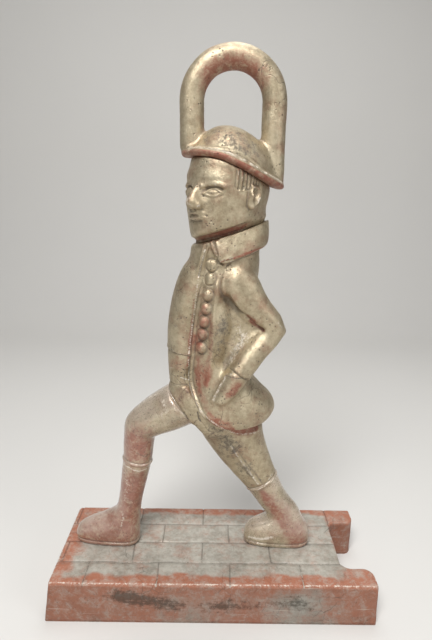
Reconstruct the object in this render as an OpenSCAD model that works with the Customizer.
// Carved walking figure with a lifting loop on its cap, on a paved base with a notched end.
// Millimetres, +Z up. The origin is the middle of the base's underside.
// The figure strides towards -X, and its near side faces -Y.

/* [Base] */
// Length of the base at its top, along the stride
base_len = 300; // [260:1:400]
// Depth of the base at its top
base_dep = 110; // [100:1:160]
// Height of the base
base_h = 40; // [32:1:60]
// Spread of the plain end of the base, from its top to its foot
end_flare = 5; // [0:0.5:10]
// Spread of each long side of the base, from its top to its foot
side_flare = 3; // [0:0.5:8]
// Depth of the notch in the heel end of the base
notch_deep = 28; // [18:1:36]
// Width of the notch between its two prongs
notch_w = 66; // [50:1:72]
// Radius of the notch's two inner corners
notch_r = 9; // [4:0.5:14]
// Radius where each prong's tip turns into the notch
prong_r = 9; // [2:0.5:10]

/* [Paving] */
// Rows of bricks across the base
brick_rows = 4; // [3:1:6]
// Length of one brick
brick_len = 67; // [40:1:90]
// Place of a cross joint in the first row
brick_start = 17.5; // [-30:0.5:30]
// Shift of every second row of bricks
bond_shift = 40; // [20:1:60]
// Width of the joint between bricks
joint_w = 1.4; // [0.8:0.1:2.5]
// Depth of the joint between bricks
joint_deep = 1; // [0.5:0.1:2]

/* [Stance] */
// Space from the plain end of the base to the front toe
toe_margin = 10; // [5:1:40]
// Space from the notched end of the base to the rear heel
heel_margin = 54; // [42:1:80]
// Place of the boots across the base
boot_y = 4; // [-10:1:10]
// Height of the hips above the top of the base
hip_h = 150; // [125:1:190]
// Place of the body along the base
body_x = 8.5; // [-10:0.5:20]
// Knee of the front leg ahead of the boot's shank
front_knee_dx = 17; // [8:1:26]
// Height of the front knee above the base
front_knee_h = 119; // [105:1:130]
// Knee of the rear leg ahead of the boot's shank
rear_knee_dx = 39; // [30:1:50]
// Height of the rear knee above the base
rear_knee_h = 90; // [80:1:100]

/* [Boots and legs] */
// Length of a boot from heel to toe
boot_len = 65; // [54:1:78]
// Width of a boot across the ball of the foot
boot_w = 27; // [22:1:34]
// Height of the toe cap
toe_h = 25; // [20:1:30]
// Thickness of the sole
sole_h = 5; // [3:0.5:7]
// Height of the front boot's top above the base
front_boot_h = 94; // [80:1:98]
// Height of the rear boot's top above the base
rear_boot_h = 73; // [64:1:78]
// Half thickness of an ankle
ankle_r = 11.8; // [9:0.2:14]
// Half thickness of a shin at the boot's top
shin_r = 14.2; // [11:0.2:17]
// Half thickness of a knee
knee_r = 16; // [13:0.2:19]
// Half thickness of a thigh at the hip
thigh_r = 25; // [21:0.5:29]

/* [Body] */
// Height from the hips to the collar's seat
torso_h = 139; // [120:1:170]
// Height from the hips to the waist of the coat
waist_h = 42; // [34:1:52]
// Half width of the coat at the chest
chest_a = 29; // [25:0.5:34]
// Half depth of the coat at the chest
chest_b = 29; // [25:0.5:35]
// Half width of the coat at the waist
waist_a = 25; // [21:0.5:30]
// Reach of the skirt behind the body's middle
skirt_back = 49; // [40:0.5:58]
// Half depth of the skirt
skirt_b = 36; // [30:0.5:42]
// Lean of the coat's front edge from upright, in degrees
front_lean = 8.8; // [4:0.2:14]
// Radius of the sweep from the coat's front edge into its hem
sweep_r = 45; // [35:1:52]
// Drop of the hem below the hips
hem_drop = 8; // [4:0.5:12]

/* [Arms] */
// Half thickness of an upper arm
arm_r = 14; // [11:0.2:17]
// Half thickness of a sleeve at its cuff
cuff_r = 10; // [8:0.2:12]
// How far the bent elbow stands out from the body's middle
elbow_out = 43; // [36:0.5:52]
// Length of the near hand below its cuff
hand_len = 34; // [26:0.5:40]

/* [Buttons] */
// Number of buttons
button_count = 7; // [3:1:9]
// Spacing of the buttons
button_pitch = 11.2; // [10.8:0.1:13]
// Radius of a button
button_r = 5.2; // [3.5:0.1:5.3]
// Height of a button's dome
button_h = 3.4; // [2:0.1:5]
// Radius of a button's peg
peg_r = 1.8; // [1.2:0.1:2.5]
// Length of a button's peg
peg_len = 9; // [6:0.5:14]

/* [Head and cap] */
// Height of the collar
collar_h = 20; // [14:0.5:24]
// Rise of the collar to the back, in degrees
collar_tilt = 18; // [8:0.5:24]
// Height of the head from the collar to the cap
head_h = 52; // [43:0.5:63]
// Turn of the face from straight ahead towards the near side, in degrees
face_turn = 48; // [20:1:70]
// Half width of the head
head_b = 31; // [27:0.5:35]
// Half length of the head from its middle to the face
head_a = 37; // [32:0.5:42]
// Fall of the cap to the back, in degrees
cap_tilt = 15; // [6:0.5:20]
// Half length of the brim
brim_a = 44; // [40:0.5:50]
// Half depth of the brim
brim_b = 37; // [34:0.5:42]
// Thickness of the brim
brim_h = 6; // [4:0.5:9]
// Height of the crown above the brim
crown_h = 24; // [16:0.5:32]

/* [Loop] */
// Radius of the loop's round bar
bar_r = 10; // [7:0.2:12]
// Width of the loop from bar middle to bar middle
loop_w = 66; // [60:1:72]
// Height from the cap's seat to the middle of the loop's bend
loop_rise = 53; // [42:1:66]

/* [Dowels and screws] */
// Radius of the dowels in the legs and the neck
dowel_r = 5; // [3:0.5:6]
// Radius of the dowels in the boots, shoulders, wrists and cap
small_dowel_r = 3.5; // [2:0.25:4.5]
// Depth of a dowel in each piece
dowel_deep = 20; // [12:1:24]
// Radius of a base screw's shank
screw_r = 2.2; // [1.5:0.1:3]
// Radius of a base screw's head
screw_head_r = 4.6; // [3.5:0.1:6]
// Depth of a base screw in its boot
screw_bite = 15; // [8:1:18]
// Clearance round a dowel, peg or screw
fit = 0.1; // [0.05:0.05:0.3]

/* [Hidden] */
$fn = 48;
leg_sides = 24;
arm_sides = 20;
body_sides = 32;
gold = "#998c67";
bole = "#8f5c49";
paving = "#8b8276";
birch = "#c9ab7c";
steel = "#8d8f92";
far = 400;
seam_turn = 40;

// Ends of the base's top, with the base's foot centred on the origin
left_x = -(base_len - end_flare) / 2;
right_x = left_x + base_len;

// Heights of the main joints
hip_z = base_h + hip_h;
neck_z = hip_z + torso_h;
hem_z = hip_z - hem_drop;
waist_z = hip_z + waist_h;
pocket_z = hip_z + 27;

// Vectors

function unit(v) = v / norm(v);
function mid(p, q, t) = p + (q - p) * t;
function side_axis(n) = unit(cross([0, 1, 0], n));
function tipped(deg) = [sin(deg), 0, cos(deg)];

// A frame at c whose third axis is n
function frame(c, n) =
    let (w = unit(n), u = side_axis(w), v = cross(w, u))
    [[u.x, v.x, w.x, c.x], [u.y, v.y, w.y, c.y], [u.z, v.z, w.z, c.z], [0, 0, 0, 1]];

// Lofts through oval sections
// A section has its centre, its normal, its half widths to the right, left, back and front,
// its turn about the normal, and a power, 2 for an ellipse and more for a squarer oval.

function section(c, n, r, turn = 0, power = 2) = concat(c, unit(n), r, [turn, power]);

function curve(p, q, r, s, t) =
    0.5 * (2 * q + (r - p) * t + (2 * p - 5 * q + 4 * r - s) * t * t
        + (3 * q - p - 3 * r + s) * t * t * t);

function section_at(keys, s) =
    let (last = len(keys) - 1, i = min(floor(s), last - 1))
    curve(keys[max(i - 1, 0)], keys[i], keys[i + 1], keys[min(i + 2, last)], s - i);

function signed_pow(x, e) = sign(x) * pow(abs(x), e);

function section_point(k, a) =
    let (n = unit([k[3], k[4], k[5]]), u0 = side_axis(n), v0 = cross(n, u0))
    let (u = u0 * cos(k[10]) + v0 * sin(k[10]), v = v0 * cos(k[10]) - u0 * sin(k[10]))
    let (x = signed_pow(cos(a), 2 / k[11]), y = signed_pow(sin(a), 2 / k[11]))
    [k[0], k[1], k[2]] + u * x * (x > 0 ? k[6] : k[7]) + v * y * (y > 0 ? k[8] : k[9]);

function ring(k, sides) = [for (i = [0 : sides - 1]) section_point(k, 360 * i / sides)];

// The skin over a list of rings of equal count, closed flat at both ends
module skin(rings) {
    m = len(rings[0]);
    last = len(rings) - 1;
    points = [for (r = rings, p = r) p];
    sides = [for (j = [0 : last - 1], i = [0 : m - 1])
        let (a = j * m + i, b = j * m + (i + 1) % m)
        each [[a, a + m, b + m], [a, b + m, b]]];
    ends = [[for (i = [0 : m - 1]) i], [for (i = [m - 1 : -1 : 0]) last * m + i]];
    polyhedron(points, concat(sides, ends));
}

// The part of a loft between two of its sections
module loft(keys, first, last, steps, sides)
    skin([for (j = [0 : steps]) ring(section_at(keys, mid(first, last, j / steps)), sides)]);

// Everything beyond the plane at c, on the side that n points to
module beyond(c, n) multmatrix(frame(c, n)) translate([-far / 2, -far / 2, 0]) cube(far);

// A round bar along n, reaching back and ahead of c, turned so that its seam misses a loft's corners
module bar(c, n, r, back, ahead)
    multmatrix(frame(c, n)) rotate(seam_turn) translate([0, 0, -back]) cylinder(r = r, h = back + ahead);

module bore(c, n, r, back, ahead) bar(c, n, r + fit, back + fit, ahead + fit);

// Front leg, from the sole up to the hip

front_x = left_x + toe_margin + boot_len - 14;
front_knee = [front_x + front_knee_dx, boot_y, base_h + front_knee_h];
front_hip = [body_x - 38, 0, hip_z + 6];
front_hip_n = [0.76, 0, 0.65];

function foot(x, z, heel, toe, w) =
    section([x, boot_y, base_h + z], [0, 0, 1], [heel, toe, w, w], 0, 2.3);

front_toe = boot_len - 14;
front_ankle = [front_x + 6, boot_y, base_h + toe_h + 25];
front_boot_top = [front_knee.x - 3, boot_y, base_h + front_boot_h];
front_cap = front_knee + [4, -1, 10];
front_keys = [
    foot(front_x, 0, 12.5, front_toe - 3, boot_w / 2 - 2),
    foot(front_x, sole_h, 14, front_toe, boot_w / 2),
    foot(front_x, toe_h * 0.6, 14, front_toe - 1.5, boot_w / 2),
    foot(front_x + 1, toe_h * 0.9, 13.5, front_toe - 8, boot_w / 2 - 1),
    foot(front_x + 2, toe_h + 4, 13, 27, ankle_r + 0.2),
    foot(front_x + 3.5, toe_h + 12, ankle_r + 0.4, ankle_r + 2, ankle_r),
    section(front_ankle, tipped(6), ankle_r * [1, 1, 1, 1]),
    section(mid(front_ankle, front_boot_top, 0.55), tipped(9), (shin_r - 1.2) * [1, 1, 1, 1]),
    section(front_boot_top, tipped(10), shin_r * [1, 1, 1, 1]),
    section(front_knee, tipped(18), [knee_r - 1, knee_r, knee_r - 1, knee_r - 1]),
    section(front_cap, tipped(34), [knee_r + 1, knee_r + 2, knee_r + 1, knee_r + 1]),
    section(mid(front_cap, front_hip, 0.5), tipped(46), thigh_r * [1, 1, 1, 1] - [3, 5, 5, 5]),
    section(front_hip, front_hip_n, [thigh_r, thigh_r - 6, thigh_r - 1, thigh_r - 1])];
front_top = 8;

module front_boot() color(bole) difference() {
    loft(front_keys, 0, front_top, 19, leg_sides);
    front_boot_bores();
}

module front_leg() color(bole) difference() {
    loft(front_keys, front_top, 12, 12, leg_sides);
    bore(front_boot_top, tipped(10), small_dowel_r, dowel_deep, dowel_deep);
    bore(front_hip, front_hip_n, dowel_r, dowel_deep, 0);
}

module front_boot_bores() {
    bore(front_boot_top, tipped(10), small_dowel_r, dowel_deep, dowel_deep);
    for (p = front_screws) bore(p, [0, 0, 1], screw_r, 0, screw_bite);
}

// Rear leg, from the sole up to the hip

rear_x = right_x - heel_margin - 20;
rear_knee = [rear_x - rear_knee_dx, boot_y, base_h + rear_knee_h];
rear_hip = [body_x + 10, 0, hip_z - 18];
rear_hip_n = [-0.2, 0, 0.98];
rear_toe = boot_len - 18;
rear_boot_top = [rear_x - 30, boot_y, base_h + rear_boot_h];
rear_keys = [
    foot(rear_x, 0, 18.5, rear_toe - 2.5, boot_w / 2 - 2),
    foot(rear_x, sole_h, 20, rear_toe, boot_w / 2),
    foot(rear_x - 1, toe_h * 0.6, 20.5, rear_toe - 2.5, boot_w / 2),
    foot(rear_x - 3, toe_h * 0.9, 20, rear_toe - 8, boot_w / 2 - 1),
    foot(rear_x - 6, toe_h + 4, 18.5, 22, ankle_r + 0.4),
    section([rear_x - 10, boot_y, base_h + toe_h + 12], tipped(-18), [17, 14.5, ankle_r, ankle_r], 0, 2.1),
    section([rear_x - 19, boot_y, base_h + toe_h + 26], tipped(-28), [15, 14.5, ankle_r + 1, ankle_r + 1]),
    section(rear_boot_top, tipped(-30), [shin_r + 1.5, shin_r + 4, shin_r, shin_r]),
    section(rear_knee, tipped(-29), [knee_r + 2, knee_r + 6.5, knee_r, knee_r]),
    section(mid(rear_knee, rear_hip, 0.5), tipped(-28), [knee_r + 6, knee_r + 11, knee_r + 4, knee_r + 4]),
    section(rear_hip, rear_hip_n, [thigh_r + 3, thigh_r + 6, thigh_r - 1, thigh_r - 1])];
rear_top = 7;

module rear_boot() color(bole) difference() {
    loft(rear_keys, 0, rear_top, 19, leg_sides);
    rear_boot_bores();
}

module rear_leg() color(gold) difference() {
    loft(rear_keys, rear_top, 10, 10, leg_sides);
    coat_side();
    bore(rear_boot_top, tipped(-30), small_dowel_r, dowel_deep, dowel_deep);
    bore(rear_hip, rear_hip_n, dowel_r, dowel_deep, 0);
}

module rear_boot_bores() {
    bore(rear_boot_top, tipped(-30), small_dowel_r, dowel_deep, dowel_deep);
    for (p = rear_screws) bore(p, [0, 0, 1], screw_r, 0, screw_bite);
}

module boot_dowels() color(birch) {
    bar(front_boot_top, tipped(10), small_dowel_r, dowel_deep, dowel_deep);
    bar(rear_boot_top, tipped(-30), small_dowel_r, dowel_deep, dowel_deep);
}

// Base with its paving and its notch

front_screws = [[front_x, boot_y, base_h], [front_x - 26, boot_y, base_h]];
rear_screws = [[rear_x, boot_y, base_h], [rear_x - 26, boot_y, base_h]];
screw_sink = base_h / 2;

module notch() {
    in_x = right_x - notch_deep;
    translate([in_x + notch_r, -notch_w / 2]) square([far, notch_w]);
    translate([in_x, -notch_w / 2 + notch_r]) square([far, notch_w - 2 * notch_r]);
    for (s = [-1, 1]) {
        translate([in_x + notch_r, s * (notch_w / 2 - notch_r)]) circle(notch_r);
        difference() {
            translate([right_x - prong_r, s > 0 ? 0 : -notch_w / 2 - prong_r])
                square([far, notch_w / 2 + prong_r]);
            translate([right_x - prong_r, s * (notch_w / 2 + prong_r)]) circle(prong_r);
        }
    }
}

module brick_joints() {
    row = base_dep / brick_rows;
    count = ceil(base_len / brick_len) + 1;
    for (i = [1 : brick_rows - 1])
        translate([-far / 2, -base_dep / 2 + i * row - joint_w / 2, 0]) cube([far, joint_w, far]);
    for (i = [0 : brick_rows - 1], j = [-count : count]) {
        x = brick_start + j * brick_len + (i % 2 == 1 ? bond_shift : 0);
        if (x > left_x + 2 * joint_w && x < right_x - 2 * joint_w)
            translate([x - joint_w / 2, -base_dep / 2 + i * row, 0]) cube([joint_w, row, far]);
    }
}

module paved_base() color(paving) difference() {
    translate([-far / 2, -far / 2, 0]) cube([far, far, base_h]);
    beyond([right_x, 0, base_h], [1, 0, 0]);
    beyond([left_x, 0, base_h], [-base_h, 0, end_flare]);
    for (s = [-1, 1]) {
        translate([0, s * base_dep / 2, base_h]) rotate([s * atan(side_flare / base_h), 0, 0])
            translate([-far / 2, s > 0 ? 0 : -far, -far / 2]) cube(far);
    }
    translate([0, 0, -1]) linear_extrude(base_h + 2) notch();
    translate([0, 0, base_h - joint_deep]) brick_joints();
    for (p = concat(front_screws, rear_screws)) {
        bore(p, [0, 0, 1], screw_r, base_h + 1, 1);
        bar([p.x, p.y, 0], [0, 0, 1], screw_head_r + fit, 1, screw_sink);
    }
}

module base_screws() color(steel) for (p = concat(front_screws, rear_screws)) {
    bar(p, [0, 0, 1], screw_r, base_h - screw_sink + 1, screw_bite);
    bar([p.x, p.y, screw_sink], [0, 0, 1], screw_head_r, 3, 0);
}

// Hips and coat

sweep_c = [body_x + 14, hem_z + sweep_r];
sweep_start = sweep_c + sweep_r * [-cos(front_lean), sin(front_lean)];

function front_edge_x(z) = sweep_start.x + (z - sweep_start.y) * tan(front_lean);

// All that lies behind the coat's front edge and above its hem
module coat_side() rotate([90, 0, 0]) linear_extrude(far, center = true) difference() {
    polygon([[front_edge_x(hem_z), hem_z], [front_edge_x(2 * far), 2 * far],
        [far, 2 * far], [far, hem_z]]);
    difference() {
        polygon([sweep_c, mid(sweep_c, sweep_start, 1.5),
            [front_edge_x(hem_z) - sweep_r, hem_z - sweep_r], [sweep_c.x, hem_z - sweep_r]]);
        translate(sweep_c) circle(sweep_r);
    }
}

hip_keys = [
    section([body_x - 16, 0, hip_z - 27], [0, 0, 1], [14, 10, 15, 15]),
    section([body_x - 8, 0, hip_z - 21], [0, 0, 1], [32, 26, 23, 23]),
    section([body_x - 4, 0, hip_z - 8], [0, 0, 1], [40, 39, 27, 27], 0, 2.2),
    section([body_x - 4, 0, hip_z + 10], [0, 0, 1], [38, 44, 28, 28], 0, 2.3),
    section([body_x - 4, 0, pocket_z], [0, 0, 1], [34, 44, 27, 27], 0, 2.3)];

module hips() color(gold) difference() {
    loft(hip_keys, 0, 4, 12, body_sides);
    coat_side();
    beyond(front_hip, -front_hip_n);
    beyond(rear_hip, -rear_hip_n);
    leg_dowel_bores();
}

collar_n = tipped(-collar_tilt);
collar_seat = [body_x + 3, 0, neck_z];
chest_z = mid(waist_z, neck_z, 0.5);
coat_keys = [
    section([body_x + 2, 0, hem_z - 8], [0, 0, 1], [skirt_back - 20, 36, skirt_b - 6, skirt_b - 6]),
    section([body_x + 2, 0, hem_z], [0, 0, 1], [skirt_back - 8, 36, skirt_b - 2, skirt_b - 2]),
    section([body_x + 2, 0, hip_z + 2], [0, 0, 1], [skirt_back - 2, 36, skirt_b, skirt_b]),
    section([body_x + 2, 0, hip_z + 13], [0, 0, 1], [skirt_back - 6, 36, skirt_b - 2, skirt_b - 2]),
    section([body_x + 1, 0, mid(hip_z, waist_z, 0.62)], [0, 0, 1], [waist_a + 6, 34, 31, 31]),
    section([body_x, 0, waist_z], [0, 0, 1], [waist_a, 33, chest_b, chest_b]),
    section([body_x, 0, chest_z], [0, 0, 1], [chest_a, 33, chest_b, chest_b]),
    section([body_x + 1, 0, neck_z - 26], tipped(-4), [chest_a - 1, 31, chest_b - 1, chest_b - 1]),
    section([body_x + 2, 0, neck_z - 12], tipped(-12), [chest_a, 29, chest_b - 3, chest_b - 3]),
    section(collar_seat, collar_n, [28, 28, 24, 24])];

// The coat before its front is cut away, between two of its sections
module coat_block(first, last) loft(coat_keys, first, last, 3 * (last - first), body_sides);

module coat() color(gold) difference() {
    union() {
        intersection() {
            coat_block(0, 9);
            coat_side();
        }
        arm_web();
    }
    leg_dowel_bores();
    shoulder_bores();
    bore(near_cuff, near_cuff_n, small_dowel_r, dowel_deep, dowel_deep);
    bore(collar_seat, collar_n, dowel_r, dowel_deep, 1);
    for (b = buttons) button_seat(b);
}

front_reach = 46;
rear_reach = 40;

module leg_dowel_bores() {
    bore(front_hip, front_hip_n, dowel_r, dowel_deep, front_reach);
    bore(rear_hip, rear_hip_n, dowel_r, dowel_deep, rear_reach);
}

module leg_dowels() color(birch) {
    bar(front_hip, front_hip_n, dowel_r, dowel_deep, front_reach);
    bar(rear_hip, rear_hip_n, dowel_r, dowel_deep, rear_reach);
}

// Buttons, each a dome on a peg, down a line on the coat's front

button_top = neck_z - 7;
button_foot = button_top - 67;

// The coat's section at a height
coat_heights = [for (s = [0 : 0.1 : 9]) [section_at(coat_keys, s)[2], s]];
function coat_at(z) = section_at(coat_keys, lookup(z, coat_heights));

function button_line(z) = mid(235, 241, (z - button_foot) / (button_top - button_foot));

function button_at(z) =
    let (k = coat_at(z), a = button_line(z), p = section_point(k, a))
    let (q = section_point(k, a + 2) - section_point(k, a - 2))
    [p, unit(cross(q, [0, 0, 1]))];

buttons = [for (i = [0 : button_count - 1]) button_at(button_top - i * button_pitch)];
button_sink = 0.8;

module button_seat(b) {
    bar(b[0], b[1], button_r + fit, button_sink, 12);
    bore(b[0], b[1], peg_r, peg_len, 0);
}

module coat_buttons() color(gold) for (b = buttons) {
    dome_r = (button_r * button_r + button_h * button_h) / (2 * button_h);
    multmatrix(frame(b[0], b[1])) translate([0, 0, -button_sink]) rotate_extrude() {
        intersection() {
            translate([0, button_h - dome_r]) circle(dome_r);
            square([button_r, button_h]);
        }
        translate([0, button_sink - peg_len]) square([peg_r, peg_len]);
    }
}

// Far arm, straight down the side with its hand in the trouser pocket

far_keys = [
    section([body_x - 35, 1, pocket_z], [0, 0, 1], [14, 14, 18, 18]),
    section([body_x - 35, 1, pocket_z + 29], tipped(8), [15, 15.5, 19, 19]),
    section([body_x - 33, 1, neck_z - 57], [0, 0, 1], [16, 16.5, 19.5, 19.5]),
    section([body_x - 30, 1, neck_z - 39], [0, 0, 1], [16, 16.5, 20, 20]),
    section([body_x - 23, 1, neck_z - 16], [0, 0, 1], [15, 17, 20, 20]),
    section([body_x - 16, 1, neck_z + 1], [0, 0, 1], [13, 13, 17, 17]),
    section([body_x - 12, 1, neck_z + 6], [0, 0, 1], [6, 6, 8, 8])];
far_cuff = 1;
far_wrist = [body_x - 38, 1, pocket_z + 29];
far_wrist_n = tipped(8);

module right_arm() color(gold) difference() {
    loft(far_keys, far_cuff, 6, 16, arm_sides);
    coat_side();
    collar_block();
    shoulder_bores();
    bore(far_wrist, far_wrist_n, small_dowel_r, dowel_deep, dowel_deep);
}

module right_hand() color(gold) difference() {
    loft(far_keys, 0, far_cuff, 4, arm_sides);
    coat_side();
    bore(far_wrist, far_wrist_n, small_dowel_r, dowel_deep, dowel_deep);
}

// Near arm, bent at the elbow with its hand in the coat pocket

near_shoulder = [body_x + 9, 13 - chest_b, neck_z - 20];
near_elbow = [body_x + elbow_out - 1, 12 - chest_b, mid(neck_z, pocket_z, 0.52)];
near_cuff = [body_x + 14, -chest_b - 0.4, pocket_z + 17];
near_cuff_n = [0.55, 0.12, 0.83];
near_tip = near_cuff - hand_len * unit([0.54, 0.06, 0.84]);
near_keys = [
    section(near_tip, near_cuff_n, [5, 6, 7, 6]),
    section(mid(near_tip, near_cuff, 0.5), near_cuff_n, cuff_r * [1, 1, 1, 1] - [1.5, 1.5, 1, 1]),
    section(near_cuff, near_cuff_n, cuff_r * [1, 1, 1, 1]),
    section(mid(near_cuff, near_elbow, 0.5), [0.6, 0.25, 0.76], (cuff_r + 0.5) * [1, 1, 1, 1]),
    section(near_elbow + [-3, 0, -5], [0.45, 0.12, 0.88], cuff_r * [1, 1, 1, 1] + [2, 1, 1, 1]),
    section(near_elbow + [-3, 0, 5], [-0.3, 0.05, 0.95], cuff_r * [1, 1, 1, 1] + [2, 2, 1, 2]),
    section(mid(near_elbow, near_shoulder, 0.5), [-0.55, 0.05, 0.83], arm_r * [1, 1, 1, 1]),
    section(near_shoulder, [-0.4, 0.1, 0.9], [arm_r + 6, arm_r + 2, arm_r + 1, arm_r + 1]),
    section(near_shoulder + [0, 1, 11], [-0.25, 0.1, 0.95], (arm_r - 1) * [1, 1, 1, 1]),
    section(near_shoulder + [0, 2, 16], [-0.2, 0.1, 0.95], (arm_r - 7) * [1, 1, 1, 1])];
near_wrist = 2;

// The coat fills the crook of the bent arm, sloping back under the upper arm
web_back = near_elbow.y + 8;
web_top = near_shoulder + [0.5, -3, -17.5];
web_crook = near_elbow + [-11, -2.5, -2.5];
web_low = near_cuff + [-2.5, 2, 9];

web_face = [web_top, web_low, web_crook];

module arm_web() skin([[for (p = web_face) [p.x, web_back, p.z]], web_face]);

module left_arm() color(gold) difference() {
    loft(near_keys, near_wrist, 9, 20, arm_sides);
    coat_block(3, 9);
    arm_web();
    shoulder_bores();
    bore(near_cuff, near_cuff_n, small_dowel_r, dowel_deep, dowel_deep);
}

module left_hand() color(gold) difference() {
    loft(near_keys, 0, near_wrist, 7, arm_sides);
    coat_block(0, 6);
    bore(near_cuff, near_cuff_n, small_dowel_r, dowel_deep, dowel_deep);
}

module wrist_dowels() color(birch) {
    bar(far_wrist, far_wrist_n, small_dowel_r, dowel_deep, dowel_deep);
    bar(near_cuff, near_cuff_n, small_dowel_r, dowel_deep, dowel_deep);
}

far_shoulder = [front_edge_x(neck_z - 30), 1, neck_z - 30];
far_shoulder_n = [-1, 0, 0];
near_shoulder_n = unit([0.88, -0.45, 0]);
near_dowel = near_shoulder + [7, -2, -2];

module shoulder_bores() {
    bore(far_shoulder, far_shoulder_n, small_dowel_r, dowel_deep, dowel_deep - 9);
    bore(near_dowel, near_shoulder_n, small_dowel_r, dowel_deep, 6);
}

module shoulder_dowels() color(birch) {
    bar(far_shoulder, far_shoulder_n, small_dowel_r, dowel_deep, dowel_deep - 9);
    bar(near_dowel, near_shoulder_n, small_dowel_r, dowel_deep, 6);
}

// Collar, head and cap

neck_r = 19;
nape_r = 42;
collar_top = collar_seat + collar_h * collar_n;
collar_keys = [
    section(collar_seat, collar_n, [33, 31, 28, 28]),
    section(collar_seat + 2 * collar_n, collar_n, [36.5, 32, 29.5, 29.5]),
    section(mid(collar_seat, collar_top, 0.6), collar_n, [nape_r - 1.5, 30, 28, 28]),
    section(collar_top, collar_n, [nape_r, 28, 26, 26])];

collar_open = 28;
notch_half = 8;

module collar_block() loft(collar_keys, 0, 3, 6, body_sides);

module collar() color(gold) difference() {
    collar_block();
    bore(collar_seat, collar_n, neck_r, 1, collar_h + 1);
    multmatrix(frame(collar_seat, collar_n)) rotate([90, 0, -collar_open]) translate([0, 0, 24])
        linear_extrude(far) polygon([[-notch_half, -1], [notch_half, -1], [0, collar_h - 2]]);
}

cap_n = tipped(cap_tilt);
cap_seat = [body_x + 5, 0, collar_top.z + head_h];
head_x = body_x + 3;
head_z = collar_top.z;

function head_section(x, h, front, back, b, tip) =
    section([x, 0, head_z + h], tipped(tip), [front, back, b, b], 180 + face_turn, 2.15);

head_keys = [
    section(collar_top, collar_n, [22, 29, 27, 24], 180 + face_turn),
    section(collar_top + 0.035 * head_h * collar_n, collar_n, [23.5, 29.5, 27.5, 24.5], 180 + face_turn),
    head_section(head_x, 0.19 * head_h, head_a - 1, 32, head_b - 2, -14),
    head_section(head_x, 0.40 * head_h, head_a, 32, head_b - 1, -6),
    head_section(head_x, 0.65 * head_h, head_a, 34, head_b, 4),
    head_section(head_x + 1, 0.86 * head_h, head_a, 35, head_b, 11),
    section(cap_seat, cap_n, [head_a - 1, 34, head_b, head_b], 180 + face_turn, 2.15)];

// Carved relief of the head, outward in millimetres, at an angle from the middle of the face
// and at a height from 0 at the collar to 1 at the cap, on the usual thirds of a face
function hill(x, middle, reach) = exp(-pow((x - middle) / reach, 2));
function ramp(x, from, to) = min(1, max(0, (x - from) / (to - from)));

function nose(a, h) =
    (2 + 7 * ramp(h, 0.74, 0.49)) * ramp(h, 0.43, 0.49) * ramp(h, 0.80, 0.72)
    * hill(a, 0, 5 + 4 * ramp(h, 0.74, 0.49));

// The nape runs out to the middle of the collar's back
function nape(a, h) =
    (nape_r - 30.5) * hill(a, 180 - face_turn, 34) * ramp(h, 0.22, 0.02);

function relief(a, h) =
    let (b = abs(a))
    nose(a, h) + nape(a, h)
    + 1.8 * hill(h, 0.80, 0.06) * ramp(b, 50, 40)
    - 3.2 * hill(b, 21, 10) * hill(h, 0.69, 0.06)
    + 1.2 * hill(b, 34, 12) * hill(h, 0.52, 0.10)
    + 1.6 * hill(h, 0.35, 0.06) * ramp(b, 22, 12)
    + 2 * hill(h, 0.20, 0.05) * hill(b, 0, 15)
    + 5 * hill(b, 79, 8) * hill(h, 0.60, 0.12);

head_sides = 46;
head_steps = 24;

// Angles round the head, closer together on the face
function face_angle(i) =
    let (s = 2 * i / head_sides - 1)
    180 * s * (0.45 + 0.55 * abs(s));

function head_ring(s) =
    let (k = section_at(head_keys, s), c = [k[0], k[1], k[2]], h = (c.z - head_z) / head_h)
    [for (i = [0 : head_sides - 1])
        let (p = section_point(k, face_angle(i)))
        p + relief(face_angle(i), h) * unit(p - c)];

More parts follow.
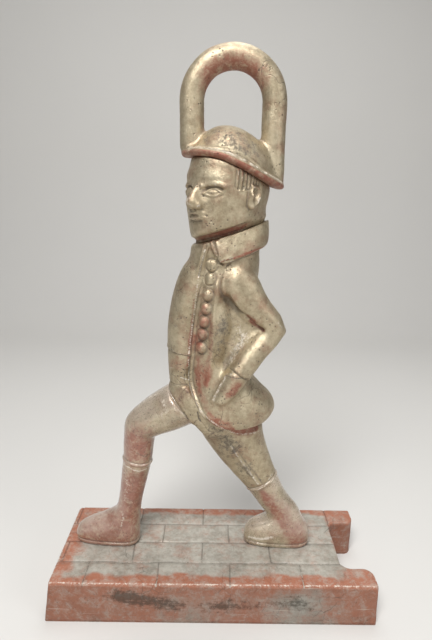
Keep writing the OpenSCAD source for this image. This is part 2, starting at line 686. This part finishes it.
module head() color(gold) difference() {
    union() {
        difference() {
            skin([for (j = [0 : head_steps]) head_ring(6 * j / head_steps)]);
            beyond(collar_top, -collar_n);
        }
        bar(collar_seat, collar_n, neck_r, 0, collar_h + 4);
    }
    bore(collar_seat, collar_n, dowel_r, 1, dowel_deep);
    bore(cap_seat, cap_n, small_dowel_r, dowel_deep, 1);
}

module neck_dowel() color(birch) bar(collar_seat, collar_n, dowel_r, dowel_deep, dowel_deep);

function cap_section(h, a, b) = section(cap_seat + h * cap_n, cap_n, [a, a, b, b]);

cap_keys = [
    cap_section(0, brim_a - 3, brim_b - 3),
    cap_section(brim_h * 0.35, brim_a, brim_b),
    cap_section(brim_h * 0.8, brim_a, brim_b),
    cap_section(brim_h + 2, brim_a - 8, brim_b - 6),
    cap_section(brim_h + crown_h * 0.2, brim_a - 11, brim_b - 8),
    cap_section(brim_h + crown_h * 0.5, brim_a - 14, brim_b - 11),
    cap_section(brim_h + crown_h * 0.8, brim_a - 22, brim_b - 17),
    cap_section(brim_h + crown_h * 0.95, brim_a - 32, brim_b - 26),
    cap_section(brim_h + crown_h, 5, 5)];

module cap() color(gold) difference() {
    loft(cap_keys, 0, 8, 18, 40);
    bore(cap_seat, cap_n, small_dowel_r, 1, dowel_deep - 2);
    loop_legs(fit);
}

module cap_dowel() color(birch) bar(cap_seat, cap_n, small_dowel_r, dowel_deep, dowel_deep - 2);

// Loop, a round bar bent over the cap

loop_mid = cap_seat + [0, 0, loop_rise];
loop_foot = cap_seat + brim_h * cap_n;

module loop_legs(gap) difference() {
    for (s = [-1, 1])
        translate(loop_mid + [s * loop_w / 2, 0, -far / 2]) cylinder(r = bar_r + gap, h = far / 2);
    beyond(loop_foot, -cap_n);
}

module handle_loop() color(gold) {
    loop_legs(0);
    translate(loop_mid) rotate([90, 0, 0]) rotate_extrude(angle = 180)
        translate([loop_w / 2, 0]) circle(bar_r);
}

paved_base();
base_screws();
front_boot();
rear_boot();
boot_dowels();
front_leg();
rear_leg();
leg_dowels();
hips();
coat();
coat_buttons();
right_arm();
right_hand();
left_arm();
left_hand();
shoulder_dowels();
wrist_dowels();
collar();
head();
neck_dowel();
cap();
cap_dowel();
handle_loop();
